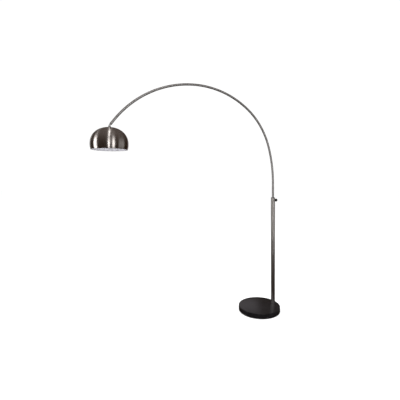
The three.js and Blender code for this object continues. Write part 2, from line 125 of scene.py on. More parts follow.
# Sizes of inner pieces and holes that the frame doesn't give.
OVERSHOOT = 5 * MM               # how far a cutting tool passes through a face
BOLT_POCKET_RADIUS = 23 * MM
BOLT_POCKET_DEPTH = 20 * MM
BOLT_HOLE_RADIUS = 6 * MM
BOLT_RADIUS = 5 * MM
INSERT_RADIUS = 5 * MM
STUD_RADIUS = 3 * MM
NIPPLE_RADIUS = 5 * MM
NUT_HOLE_RADIUS = 5.3 * MM       # what the insert and the nipple pass through
TUBE_HOLE_RADIUS = 10.3 * MM     # what the arc tube passes through
LEAD_RADIUS = 2.8 * MM
SPIGOT_RADIUS = 7.6 * MM
SPIGOT_BORE = 5.4 * MM
GRUB_SCREW_RADIUS = 2 * MM
GRUB_SCREW_HOLE = 2.3 * MM
GRUB_SCREW_AT = 12 * MM          # from the end of the tube that it holds
HOLDER_RADIUS = 19 * MM
HOLDER_SKIRT_RADIUS = 17 * MM
HOLDER_RING_RADIUS = 23 * MM
BULB_THREAD_RADIUS = 13 * MM


def arm_at(distance):
    """Point on the arm's centreline, and its heading from +Z towards -X."""
    x, z, heading = POLE_X, LEG_TOP, 0.0
    left = distance - LEG_LENGTH
    if left > 0:
        for radius, turn in ARC_BENDS:
            angle = min(left / radius, math.radians(turn))
            x -= radius * (math.cos(heading) - math.cos(heading + angle))
            z += radius * (math.sin(heading + angle) - math.sin(heading))
            heading += angle
            left -= angle * radius
    return Vector((x - left * math.sin(heading), 0, z + left * math.cos(heading))), heading


# ---------------------------------------------------------------- camera, light and floor
CAMERA_PLACE = Vector((-1.522, -2.453, 1.2577))


def make_camera():
    data = bpy.data.cameras.new("camera")
    data.lens = 27.125
    data.sensor_width = 36
    data.shift_x = -0.0282
    data.shift_y = -0.0578
    camera = bpy.data.objects.new("camera", data)
    camera.location = CAMERA_PLACE
    camera.rotation_euler = (math.radians(90), 0, math.radians(-22.78))
    bpy.context.scene.collection.objects.link(camera)
    bpy.context.scene.camera = camera


def make_area_light(name, place, aim, size, brightness):
    """A rectangle that shines evenly towards aim. Its brightness is that of its surface."""
    data = bpy.data.lights.new(name, "AREA")
    data.shape = "RECTANGLE"
    data.size, data.size_y = size
    data.energy = brightness * math.pi * size[0] * size[1]
    light = bpy.data.objects.new(name, data)
    light.location = place
    light.rotation_euler = (Vector(aim) - Vector(place)).to_track_quat("-Z", "Y").to_euler()
    light.visible_camera = False
    bpy.context.scene.collection.objects.link(light)
    return light


def make_lights():
    """Tall strips that draw upright streaks on the dome, and a wide soft light over everything."""
    shade = Vector((SHADE_X, 0, SHADE_EQUATOR))
    strip_middle = 1.5
    strip_height = 2.4
    base = (-0.05, 0, 0.05)

    def around(azimuth, distance, height):
        """A point round the shade. Azimuth 0 is on the front side of the shade, 90 its right."""
        angle = math.radians(azimuth) + math.atan2(CAMERA_PLACE.x - shade.x, -CAMERA_PLACE.y)
        return (shade.x + distance * math.sin(angle), -distance * math.cos(angle), height)

    strips = (
        # name, azimuth, distance, width, brightness
        ("strip_left", -90, 2.6, 0.95, 4.2),
        ("strip_front", -3.5, 2.9, 0.45, 4.6),
        ("strip_front_right", 23, 2.7, 0.66, 3.4),
        ("strip_right", 76, 3.4, 2.6, 0.45),
        ("strip_back_left", -146, 3.0, 0.4, 0.7),
        ("strip_back_right", 160, 3.0, 0.4, 0.7),
    )
    for name, azimuth, distance, width, brightness in strips:
        make_area_light(name, around(azimuth, distance, strip_middle), (shade.x, 0, strip_middle),
                        (width, strip_height), brightness)
    make_area_light("strip_over", around(-3.5, 0.8, 4.4), (shade.x, 0, 1.6), (0.26, 3.6), 4.0)
    sheen = make_area_light("base_sheen", (1.1, 3.4, 1.75), base, (1.7, 1.3), 0.33)
    sheen.data.color = (1.0, 0.95, 1.03)
    top = make_area_light("top_soft", (-0.6, -0.4, 4.2), (-0.6, 0, 0), (4.0, 3.0), 2.4)
    top.visible_glossy = False


def make_world():
    """White to the camera and on matt surfaces, and a dim brown room in the mirror of metal."""
    world = bpy.data.worlds.new("studio")
    bpy.context.scene.world = world
    world.use_nodes = True
    nodes, links = world.node_tree.nodes, world.node_tree.links
    direction = nodes.new("ShaderNodeTexCoord")
    parts = nodes.new("ShaderNodeSeparateXYZ")
    links.new(direction.outputs["Generated"], parts.inputs["Vector"])
    room = nodes.new("ShaderNodeValToRGB")
    room.color_ramp.elements[0].color = (0.031, 0.017, 0.008, 1)
    room.color_ramp.elements[0].position = 0.1
    room.color_ramp.elements[1].color = (0.20, 0.165, 0.15, 1)
    links.new(parts.outputs["Z"], room.inputs["Fac"])
    path = nodes.new("ShaderNodeLightPath")
    mix = nodes.new("ShaderNodeMix")
    mix.data_type = "RGBA"
    factor, white, dim = mix.inputs[0], mix.inputs[6], mix.inputs[7]
    white.default_value = (1.05, 1.05, 1.05, 1)
    links.new(path.outputs["Is Glossy Ray"], factor)
    links.new(room.outputs["Color"], dim)
    links.new(mix.outputs[2], nodes["Background"].inputs["Color"])


def make_floor():
    bm = bmesh.new()
    bmesh.ops.create_grid(bm, x_segments=8, y_segments=8, size=30)
    mesh = bpy.data.meshes.new("floor")
    bm.to_mesh(mesh)
    bm.free()
    floor = bpy.data.objects.new("floor", mesh)
    floor.visible_glossy = False
    bpy.context.scene.collection.objects.link(floor)
    look = bpy.data.materials.new("floor")
    look.use_nodes = True
    shader = look.node_tree.nodes["Principled BSDF"]
    shader.inputs["Base Color"].default_value = (0.96, 0.96, 0.96, 1)
    shader.inputs["Roughness"].default_value = 1
    shader.inputs["Specular IOR Level"].default_value = 0
    mesh.materials.append(look)


# ---------------------------------------------------------------- materials
class Look:
    """A procedural material: a Principled shader, with helpers that add the nodes feeding it."""

    def __init__(self, name, color, roughness, metallic=0.0, **more):
        self.material = bpy.data.materials.new(name)
        self.material.use_nodes = True
        self.nodes = self.material.node_tree.nodes
        self.links = self.material.node_tree.links
        self.shader = self.nodes["Principled BSDF"]
        self.set("Base Color", (*color, 1))
        self.set("Roughness", roughness)
        self.set("Metallic", metallic)
        for socket, value in more.items():
            self.set(socket.replace("_", " "), value)

    def set(self, socket, value):
        self.shader.inputs[socket].default_value = value

    def place(self, attribute=None, scale=(1, 1, 1)):
        """Texture coordinates: the piece's own metres, or a vector attribute of its mesh."""
        if attribute:
            source = self.nodes.new("ShaderNodeAttribute")
            source.attribute_name = attribute
            out = source.outputs["Vector"]
        else:
            source = self.nodes.new("ShaderNodeTexCoord")
            out = source.outputs["Object"]
        mapping = self.nodes.new("ShaderNodeMapping")
        mapping.inputs["Scale"].default_value = scale
        self.links.new(out, mapping.inputs["Vector"])
        return mapping.outputs["Vector"]

    def noise(self, place, scale, detail=4.0, rough=0.55):
        node = self.nodes.new("ShaderNodeTexNoise")
        node.inputs["Scale"].default_value = scale
        node.inputs["Detail"].default_value = detail
        node.inputs["Roughness"].default_value = rough
        self.links.new(place, node.inputs["Vector"])
        return node.outputs["Fac"]

    def cells(self, place, scale, feature="F1"):
        node = self.nodes.new("ShaderNodeTexVoronoi")
        node.feature = feature
        node.inputs["Scale"].default_value = scale
        self.links.new(place, node.inputs["Vector"])
        return node.outputs["Distance"]

    def ranged(self, value, low_in, high_in, low_out, high_out):
        node = self.nodes.new("ShaderNodeMapRange")
        for socket, number in (("From Min", low_in), ("From Max", high_in),
                               ("To Min", low_out), ("To Max", high_out)):
            node.inputs[socket].default_value = number
        self.links.new(value, node.inputs["Value"])
        return node.outputs["Result"]

    def ramp(self, value, *stops):
        node = self.nodes.new("ShaderNodeValToRGB")
        elements = node.color_ramp.elements
        while len(elements) < len(stops):
            elements.new(0.5)
        for element, (position, color) in zip(elements, stops):
            element.position = position
            element.color = (*color, 1)
        self.links.new(value, node.inputs["Fac"])
        return node.outputs["Color"]

    def blend(self, factor, first, second, mode="MIX"):
        node = self.nodes.new("ShaderNodeMix")
        node.data_type = "RGBA"
        node.blend_type = mode
        sockets = (node.inputs[0], node.inputs[6], node.inputs[7])
        for value, socket in zip((factor, first, second), sockets):
            if isinstance(value, (int, float)):
                socket.default_value = value
            elif isinstance(value, tuple):
                socket.default_value = (*value, 1)
            else:
                self.links.new(value, socket)
        return node.outputs[2]

    def feed(self, socket, value):
        self.links.new(value, self.shader.inputs[socket])

    def bump(self, height, strength, distance):
        node = self.nodes.new("ShaderNodeBump")
        node.inputs["Strength"].default_value = strength
        node.inputs["Distance"].default_value = distance
        self.links.new(height, node.inputs["Height"])
        if self.shader.inputs["Normal"].is_linked:
            previous = self.shader.inputs["Normal"].links[0].from_socket
            self.links.new(previous, node.inputs["Normal"])
        self.links.new(node.outputs["Normal"], self.shader.inputs["Normal"])

    def grain_round_z(self):
        """Scratches that run round the Z axis, for the shine of spun or turned metal."""
        node = self.nodes.new("ShaderNodeTangent")
        node.direction_type = "RADIAL"
        node.axis = "Z"
        self.links.new(node.outputs["Tangent"], self.shader.inputs["Tangent"])


def brushed_metal(name, color, roughness, stretch, attribute="grain", depth=0.12, **more):
    """Metal with fine scratches, short across and long along the grain."""
    look = Look(name, color, roughness, 1.0, **more)
    fine = look.noise(look.place(attribute, stretch), 1.0, 3.0, 0.7)
    broad = look.noise(look.place(attribute, tuple(s * 0.12 for s in stretch)), 1.0, 4.0)
    dark = tuple(c * 0.86 for c in color)
    light = tuple(min(1.0, c * 1.10) for c in color)
    tone = look.blend(0.35, look.ramp(fine, (0.3, dark), (0.7, light)),
                      look.ramp(broad, (0.35, dark), (0.65, light)))
    look.feed("Base Color", tone)
    look.feed("Roughness", look.ranged(fine, 0.3, 0.7, roughness - 0.05, roughness + 0.07))
    look.bump(fine, depth, 0.05 * MM)
    return look


def make_stone():
    look = Look("black_stone", (0.008, 0.008, 0.008), 0.3, IOR=1.5)
    place = look.place()
    cloud = look.noise(place, 9.0, 6.0)
    body = look.ramp(cloud, (0.3, (0.0040, 0.0038, 0.0044)), (0.7, (0.0075, 0.0071, 0.0082)))
    grains = look.cells(place, 700)
    specks = look.ramp(grains, (0.0, (1, 1, 1)), (0.22, (0, 0, 0)))
    patchy = look.ranged(look.noise(place, 120, 2.0), 0.55, 0.75, 0.0, 0.55)
    sparkle = look.blend(patchy, (0, 0, 0), specks)
    tone = look.blend(1.0, body, look.blend(1.0, sparkle, (0.034, 0.033, 0.037), "MULTIPLY"), "ADD")
    look.feed("Base Color", tone)
    look.feed("Roughness", look.ranged(cloud, 0.3, 0.7, 0.20, 0.25))
    look.bump(look.noise(place, 1400, 2.0), 0.06, 0.1 * MM)
    return look.material


def make_plastic(name, color, roughness):
    look = Look(name, color, roughness)
    place = look.place()
    cloud = look.noise(place, 60, 3.0)
    look.feed("Base Color", look.ramp(cloud, (0.3, tuple(c * 0.75 for c in color)), (0.7, color)))
    look.feed("Roughness", look.ranged(cloud, 0.3, 0.7, roughness - 0.06, roughness + 0.06))
    look.bump(look.noise(place, 2500, 2.0), 0.25, 0.06 * MM)
    return look.material


def make_plated(name, color, roughness):
    look = Look(name, color, roughness, 1.0)
    place = look.place()
    patches = look.cells(place, 900)
    cloud = look.noise(place, 160, 4.0)
    shade = look.blend(0.5, look.ramp(patches, (0.0, tuple(c * 0.8 for c in color)), (0.6, color)),
                       look.ramp(cloud, (0.3, tuple(c * 0.85 for c in color)), (0.7, color)))
    look.feed("Base Color", shade)
    look.feed("Roughness", look.ranged(cloud, 0.3, 0.7, roughness - 0.07, roughness + 0.1))
    look.bump(cloud, 0.1, 0.1 * MM)
    return look.material


def make_lacquer_with_painted_shade():
    # Painted shade: the dome's inner lacquer is white paint, but its base colour here is a grey that
    # stands for the shade inside the dome.
    look = Look("lacquer_with_painted_shade", (0.6, 0.6, 0.63), 0.4)
    place = look.place()
    peel = look.noise(place, 420, 2.0)
    dust = look.noise(place, 14, 4.0)
    look.feed("Base Color", look.ramp(dust, (0.3, (0.56, 0.555, 0.59)), (0.7, (0.62, 0.615, 0.65))))
    look.feed("Roughness", look.ranged(peel, 0.3, 0.7, 0.32, 0.46))
    look.bump(peel, 0.15, 0.15 * MM)
    return look.material


def make_opal_glass():
    look = Look("opal_glass", (0.92, 0.91, 0.87), 0.22, Coat_Weight=0.4)
    place = look.place()
    cloud = look.noise(place, 30, 3.0)
    look.feed("Base Color", look.ramp(cloud, (0.3, (0.87, 0.86, 0.82)), (0.7, (0.94, 0.93, 0.90))))
    look.feed("Roughness", look.ranged(cloud, 0.3, 0.7, 0.18, 0.28))
    look.bump(look.noise(place, 1800, 1.0), 0.05, 0.05 * MM)
    return look.material


def make_pole_steel():
    look = brushed_metal("pole_steel", (0.36, 0.342, 0.33), 0.32, (260, 260, 9000), None,
                         Anisotropic=0.5)
    look.grain_round_z()
    return look.material


def make_tube_steel():
    look = brushed_metal("arc_tube_steel", (0.44, 0.43, 0.425), 0.52, (2600, 2600, 24))
    return look.material


def make_shade_metal():
    look = brushed_metal("shade_metal", (0.46, 0.43, 0.41), 0.28, (1.6, 1.6, 5200),
                         Anisotropic=0.93, Anisotropic_Rotation=0.25)
    look.grain_round_z()
    return look.material


def make_turned_steel(name, color, roughness):
    return brushed_metal(name, color, roughness, (2.0, 2.0, 9000)).material


STONE = make_stone()
POLE_STEEL = make_pole_steel()
TUBE_STEEL = make_tube_steel()
SHADE_METAL = make_shade_metal()
KNUCKLE_STEEL = make_turned_steel("knuckle_steel", (0.26, 0.25, 0.245), 0.5)
BLACK_PLASTIC = make_plastic("black_plastic", (0.004, 0.004, 0.0045), 0.6)
RUBBER = make_plastic("rubber", (0.025, 0.025, 0.025), 0.85)
LEAD_SHEATH = make_plastic("lead_sheath", (0.03, 0.03, 0.03), 0.55)
ZINC = make_plated("zinc_plate", (0.62, 0.62, 0.63), 0.38)
BRASS = make_plated("brass", (0.78, 0.58, 0.30), 0.3)
LACQUER_WITH_PAINTED_SHADE = make_lacquer_with_painted_shade()
OPAL_GLASS = make_opal_glass()


# ---------------------------------------------------------------- meshes
def rounded(*corners, steps=4):
    """An outline through corners (radius, height, rounding), with an arc at each rounding."""
    out = []
    for i, corner in enumerate(corners):
        here = Vector(corner[:2])
        rounding = corner[2] if len(corner) > 2 else 0
        if not rounding:
            out.append(here)
            continue
        before = Vector(corners[i - 1][:2])
        after = Vector(corners[(i + 1) % len(corners)][:2])
        way_in, way_out = (here - before).normalized(), (after - here).normalized()
        turn = way_in.angle_signed(way_out)
        reach = rounding * math.tan(abs(turn) / 2)
        side = Vector((-way_in.y, way_in.x)) * (-1 if turn > 0 else 1)
        start = here - way_in * reach
        centre = start + side * rounding
        for k in range(steps + 1):
            spin = Matrix.Rotation(-turn * k / steps, 2)
            out.append(centre + spin @ (start - centre))
    return [(max(point.x, 0.0), point.y) for point in out]


def spread(outline, step):
    """The same outline with points no further apart than step."""
    out = []
    for (r0, z0), (r1, z1) in zip(outline, outline[1:] + outline[:1]):
        count = max(1, math.ceil(math.hypot(r1 - r0, z1 - z0) / step)) if r0 or r1 else 1
        out += [(r0 + (r1 - r0) * k / count, z0 + (z1 - z0) * k / count) for k in range(count)]
    return out


def upright(x=0.0, y=0.0, z=0.0):
    """Round a vertical axis through a point."""
    def place(radius, height, angle):
        return Vector((x + radius * math.cos(angle), y + radius * math.sin(angle), z + height))
    return place


def along_x(y, z):
    """Round a level axis that runs along +X from the pole's axis."""
    def place(radius, height, angle):
        return Vector((POLE_X + height, y + radius * math.cos(angle), z + radius * math.sin(angle)))
    return place


def along_y(x, z):
    def place(radius, height, angle):
        return Vector((x + radius * math.cos(angle), height, z + radius * math.sin(angle)))
    return place


def on_arm(radius, distance, angle):
    """Round the line of the arm: height is the distance along it."""
    centre, heading = arm_at(distance)
    across = Vector((math.cos(heading), 0, math.sin(heading)))
    return centre + radius * (math.cos(angle) * across + Vector((0, math.sin(angle), 0)))


def threaded(place, start, end, radius, pitch, depth):
    """The same place, with a screw thread cut into what has that radius between start and end."""
    def cut(r, height, angle):
        if abs(r - radius) < 0.02 * MM and start <= height <= end:
            phase = (height / pitch - angle / math.tau) % 1
            fade = min(1.0, (height - start) / pitch, (end - height) / pitch)
            r -= depth * fade * (0.5 - 0.5 * math.cos(math.tau * phase))
        return place(r, height, angle)
    return cut


def fluted(place, start, end, radius, count, depth):
    """The same place, with rounded grooves round a rim between start and end."""
    def cut(r, height, angle):
        if r > radius and start <= height <= end:
            r -= depth * (0.5 + 0.5 * math.cos(count * angle)) ** 2
        return place(r, height, angle)
    return cut


def turned(outline, place, segments=64, second_material_from=None):
    """A closed outline of (radius, height) turned round an axis. It may start and end on the axis."""
    bm = bmesh.new()
    grain = bm.verts.layers.float_vector.new("grain")
    rings = []
    travelled = 0.0
    for i, (radius, height) in enumerate(outline):
        if i:
            travelled += math.dist(outline[i - 1], outline[i])
        if radius < 1e-7:
            vert = bm.verts.new(place(0.0, height, 0.0))
            vert[grain] = (0, 0, travelled)
            rings.append([vert])
            continue
        ring = []
        for k in range(segments):
            angle = math.tau * k / segments
            vert = bm.verts.new(place(radius, height, angle))
            vert[grain] = (math.cos(angle), math.sin(angle), travelled)
            ring.append(vert)
        rings.append(ring)
    pairs = list(zip(rings, rings[1:]))
    if len(rings[0]) > 1:
        pairs.append((rings[-1], rings[0]))
    for i, (first, second) in enumerate(pairs):
        for k in range(segments):
            n = (k + 1) % segments
            if len(first) == 1:
                corners = [first[0], second[n], second[k]]
            elif len(second) == 1:
                corners = [first[k], first[n], second[0]]
            else:
                corners = [first[k], first[n], second[n], second[k]]
            face = bm.faces.new(corners)
            if second_material_from is not None and i >= second_material_from:
                face.material_index = 1
    bmesh.ops.recalc_face_normals(bm, faces=bm.faces)
    return bm


def block(size, centre, rounding=0.0, steps=3):
    """A box with rounded edges."""
    bm = bmesh.new()
    place = Matrix.Translation(centre) @ Matrix.Diagonal((*size, 1))
    bmesh.ops.create_cube(bm, size=1.0, matrix=place)
    if rounding:
        bmesh.ops.bevel(bm, geom=bm.edges[:], offset=rounding, segments=steps, profile=0.5,
                        affect="EDGES")
    return bm


def to_object(name, bm):
    mesh = bpy.data.meshes.new(name)
    bm.to_mesh(mesh)
    bm.free()
    thing = bpy.data.objects.new(name, mesh)
    bpy.context.scene.collection.objects.link(thing)
    return thing


def combined(name, base, *steps, rounding=0.0):
    """base with each (operation, mesh) of steps applied, then its sharp edges rounded."""
    thing = to_object(name, base)
    tools = []
    for i, (operation, bm) in enumerate(steps):
        tool = to_object(f"{name}_tool_{i}", bm)
        tools.append(tool)
        modifier = thing.modifiers.new(f"step_{i}", "BOOLEAN")
        modifier.operation = operation
        modifier.solver = "EXACT"
        modifier.object = tool
    if rounding:
        edges = thing.modifiers.new("edges", "BEVEL")
        edges.width = rounding
        edges.segments = 2
        edges.limit_method = "ANGLE"
        edges.angle_limit = math.radians(40)
        edges.harden_normals = False
    bpy.context.view_layer.update()
    mesh = bpy.data.meshes.new_from_object(thing.evaluated_get(bpy.context.evaluated_depsgraph_get()))
    bpy.data.objects.remove(thing)
    for tool in tools:
        bpy.data.objects.remove(tool)
    bm = bmesh.new()
    bm.from_mesh(mesh)
    bpy.data.meshes.remove(mesh)
    return bm


SHARP_ANGLE = math.radians(38)


def piece(node, bm, *materials):
    """A finished piece that stands for a CAD node and moves with its body."""
    for face in bm.faces:
        face.smooth = True
    for edge in bm.edges:
        edge.smooth = len(edge.link_faces) == 2 and edge.calc_face_angle(0) < SHARP_ANGLE
    thing = to_object(node + "_fine", bm)
    for look in materials:
        thing.data.materials.append(look)
    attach(thing, frame["nodes"][node]["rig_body"])
    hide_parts(node)
    return thing


def rod(radius, bottom, top, place, segments=48, rounding=0.0):
    return turned(rounded((0, bottom), (radius, bottom, rounding), (radius, top, rounding), (0, top)),
                  place, segments)


def ring(inner, outer, bottom, top, place, segments=64, rounding=0.3 * MM):
    return turned(rounded((inner, bottom, rounding), (outer, bottom, rounding),
                          (outer, top, rounding), (inner, top, rounding)), place, segments)


# ---------------------------------------------------------------- base
def make_base():
    bottom = low("base_slab").z
    edge = 2 * MM
    outline = rounded((0, bottom), (BASE_RADIUS, bottom, edge), (BASE_RADIUS, BASE_TOP, edge),
                      (0, BASE_TOP), steps=5)
    at_pole = upright(POLE_X)
    seat = rod(POLE_RADIUS + GAP, SEAT_FLOOR - GAP, BASE_TOP + 2 * OVERSHOOT, at_pole, 96)
    bolt_hole = rod(BOLT_HOLE_RADIUS, 0, BASE_TOP + OVERSHOOT, at_pole)
    pocket = rod(BOLT_POCKET_RADIUS, -OVERSHOOT, BOLT_POCKET_DEPTH, at_pole, 72)
    slab = combined("slab", turned(outline, upright(), 160), ("DIFFERENCE", seat),
                    ("DIFFERENCE", bolt_hole), ("DIFFERENCE", pocket))
    piece("base_slab", slab, STONE)

    thickness = high("base_pad").z
    radius = high("base_pad").y
    disc = turned(rounded((0, 0), (radius, 0, 1 * MM), (radius, thickness, 0.6 * MM), (0, thickness)),
                  upright(), 128)
    pad_hole = rod(BOLT_POCKET_RADIUS, -OVERSHOOT, 2 * OVERSHOOT, at_pole, 72)
    pad = combined("pad", disc, ("DIFFERENCE", pad_hole))
    piece("base_pad", pad, RUBBER)


def make_pole_fixings():
    at_pole = upright(POLE_X)
    for node in ("pole_bolt_washer", "pole_bolt_lock_washer"):
        washer = ring(BOLT_RADIUS + 0.4 * MM, half_width(node), low(node).z, high(node).z, at_pole)
        piece(node, washer, ZINC)

    bottom, top = low("pole_bolt").z, high("pole_bolt").z
    head_top = bottom + 7 * MM
    head_radius = 9.4 * MM
    head = turned(rounded((0, bottom), (head_radius - 0.8 * MM, bottom), (head_radius, bottom + 0.8 * MM),
                          (head_radius, head_top, 0.4 * MM), (0, head_top)), at_pole, 6)
    shank_start = head_top - 2 * MM
    thread_start, thread_end = bottom + 12 * MM, top - 1 * MM
    shank = turned(spread(rounded((0, shank_start), (BOLT_RADIUS, shank_start),
                                  (BOLT_RADIUS, thread_end), (BOLT_RADIUS - 0.8 * MM, top), (0, top)),
                          0.25 * MM),
                   threaded(at_pole, thread_start, thread_end, BOLT_RADIUS, 1.5 * MM, 0.8 * MM), 32)
    piece("pole_bolt", combined("bolt", head, ("UNION", shank)), ZINC)

    node = "pole_foot_plug"
    plug = ring(BOLT_RADIUS + GAP, half_width(node), low(node).z, high(node).z, at_pole,
                rounding=1 * MM)
    piece(node, plug, ZINC)


# ---------------------------------------------------------------- pole
def make_pole():
    at_pole = upright(POLE_X)
    outline = rounded((POLE_BORE, SEAT_FLOOR), (POLE_RADIUS, SEAT_FLOOR),
                      (POLE_RADIUS, POLE_TOP, 0.7 * MM), (POLE_BORE, POLE_TOP, 0.5 * MM))
    tube = combined(
        "pole", turned(outline, at_pole, 96),
        ("DIFFERENCE", rod(NUT_HOLE_RADIUS, 10 * MM, 25 * MM, along_x(0, KNOB_Z))),
        ("DIFFERENCE", rod(6.5 * MM, 10 * MM, 25 * MM, along_y(POLE_X, GROMMET_Z))))
    piece("pole_tube", tube, POLE_STEEL)

    bore = TUBE_HOLE_RADIUS
    flange = high("pole_top_bush").z
    outline = rounded((bore, low("pole_top_bush").z), (POLE_BORE - GAP, low("pole_top_bush").z, 1 * MM),
                      (POLE_BORE - GAP, POLE_TOP + GAP), (POLE_RADIUS, POLE_TOP + GAP, 0.3 * MM),
                      (POLE_RADIUS, flange, 2.2 * MM), (bore + 0.4 * MM, flange, 0.8 * MM),
                      (bore, flange - 1.5 * MM))
    bush = combined("bush", turned(outline, at_pole, 96),
                    ("DIFFERENCE", rod(NUT_HOLE_RADIUS, 0, 25 * MM, along_x(0, KNOB_Z))))
    piece("pole_top_bush", bush, BLACK_PLASTIC)

    start, end = low("clamp_insert").x - POLE_X, high("clamp_insert").x - POLE_X
    bore = STUD_RADIUS + GAP
    insert = turned(spread(rounded((bore, start), (INSERT_RADIUS, start, 0.4 * MM),
                                   (INSERT_RADIUS, end, 0.3 * MM), (bore, end, 0.3 * MM)), 0.4 * MM),
                    fluted(along_x(0, KNOB_Z), start + 1 * MM, end - 1.5 * MM,
                           INSERT_RADIUS - 0.1 * MM, 24, 0.3 * MM), 96)
    piece("clamp_insert", insert, BRASS)

    outer_face = high("lead_grommet").y
    inner_face = 13 * MM
    hole = LEAD_RADIUS + GAP
    neck = 6.2 * MM
    grommet = turned(rounded((hole, inner_face, 0.4 * MM), (7.2 * MM, inner_face, 0.8 * MM),
                             (7.2 * MM, 14.2 * MM, 0.4 * MM), (neck, 14.4 * MM),
                             (neck, POLE_RADIUS), (8 * MM, POLE_RADIUS + 0.1 * MM, 0.2 * MM),
                             (7.6 * MM, outer_face - 0.4 * MM, 0.9 * MM),
                             (hole, outer_face, 0.7 * MM)), along_y(POLE_X, GROMMET_Z), 64)
    piece("lead_grommet", grommet, RUBBER)


def make_clamp():
    at_knob = along_x(0, KNOB_Z)
    start, end = low("clamp_pad").x - POLE_X, high("clamp_pad").x - POLE_X
    piece("clamp_pad", rod(half_width("clamp_pad"), start, end, at_knob, 48, 0.3 * MM), BLACK_PLASTIC)

    start, end = low("clamp_stud").x - POLE_X, high("clamp_stud").x - POLE_X
    tip = 0.8 * MM
    stud = turned(spread(rounded((0, start), (STUD_RADIUS - tip, start), (STUD_RADIUS, start + tip),
                                 (STUD_RADIUS, end), (0, end)), 0.16 * MM),
                  threaded(at_knob, start + tip, end, STUD_RADIUS, 1 * MM, 0.55 * MM), 32)
    piece("clamp_stud", stud, ZINC)

    start, end = low("clamp_knob").x - POLE_X, high("clamp_knob").x - POLE_X
    radius = half_width("clamp_knob")
    bore = STUD_RADIUS + GAP
    bore_end = start + 8.6 * MM
    shoulder = start + 6 * MM
    outline = rounded((0, bore_end), (bore, bore_end), (bore, start),
                      (7.2 * MM, start, 0.5 * MM), (7.8 * MM, shoulder, 1.0 * MM),
                      (radius, shoulder + 0.6 * MM, 1.4 * MM), (radius, end, 2 * MM), (0, end),
                      steps=5)
    knob = turned(spread(outline, 0.8 * MM),
                  fluted(at_knob, shoulder + 0.7 * MM, end, radius - 2.4 * MM, 14, 0.9 * MM), 168)
    piece("clamp_knob", knob, BLACK_PLASTIC)


# ---------------------------------------------------------------- arm
def arm_tube(start, end):
    """A tube along the arm, with rounded lips."""
    lip = 0.35 * MM
    outline = rounded((TUBE_BORE, start, lip), (TUBE_RADIUS, start, lip),
                      (TUBE_RADIUS, end, lip), (TUBE_BORE, end, lip), steps=3)
    return turned(spread(outline, 9 * MM), on_arm, 56)


def radial(distance, radius, start, end, segments=40, rounding=0.0):
    """A rod that points outwards from the arm on its underside."""
    centre, heading = arm_at(distance)
    out = -Vector((math.cos(heading), 0, math.sin(heading)))
    ahead = Vector((-math.sin(heading), 0, math.cos(heading)))

    def place(r, height, angle):
        return centre + out * height + r * (math.cos(angle) * ahead + Vector((0, math.sin(angle), 0)))
    return rod(radius, start, end, place, segments, rounding)


def make_arm():
    seam = 0.15 * MM
    tubes = (("lower_arc_tube", 0.0, FIRST_JOINT, True),
             ("middle_arc_tube", FIRST_JOINT, SECOND_JOINT, True),
             ("end_arc_tube", SECOND_JOINT, ARM_LENGTH - PLUG_START - PLUG_SHOULDER, False))
    for node, start, end, has_screw in tubes:
        tube = arm_tube(start + seam, end - seam)
        if has_screw:
            hole = radial(end - GRUB_SCREW_AT, GRUB_SCREW_HOLE, 5 * MM, 13 * MM)
            tube = combined(node, tube, ("DIFFERENCE", hole))
        piece(node, tube, TUBE_STEEL)

    for name, joint in (("lower_spigot", FIRST_JOINT), ("upper_spigot", SECOND_JOINT)):
        start, end = joint - SPIGOT_REACH, joint + SPIGOT_REACH
        outline = rounded((SPIGOT_BORE, start), (SPIGOT_RADIUS, start, 0.5 * MM),
                          (SPIGOT_RADIUS, end, 0.5 * MM), (SPIGOT_BORE, end))
        screw_at = joint - GRUB_SCREW_AT
        sleeve = combined(name, turned(spread(outline, 8 * MM), on_arm, 40),
                          ("DIFFERENCE", radial(screw_at, GRUB_SCREW_HOLE, 0, 12 * MM)))
        piece(name, sleeve, ZINC)
        body = radial(screw_at, GRUB_SCREW_RADIUS, 5.8 * MM, 9.8 * MM, 40, 0.25 * MM)
        socket = radial(screw_at, 1.0 * MM, 8.2 * MM, 12 * MM, 6)
        piece(name + "_screw", combined(name + "_screw", body, ("DIFFERENCE", socket)), ZINC)


def make_leg_fittings():
    at_pole = upright(POLE_X)
    for node, segments, rounding, look in (("glide_sleeve", 72, 1 * MM, BLACK_PLASTIC),
                                           ("leg_clip_lower", 56, 0.4 * MM, ZINC),
                                           ("leg_clip_upper", 56, 0.4 * MM, ZINC)):
        sleeve = ring(TUBE_HOLE_RADIUS, half_width(node), low(node).z, high(node).z, at_pole,
                      segments, rounding)
        piece(node, sleeve, look)


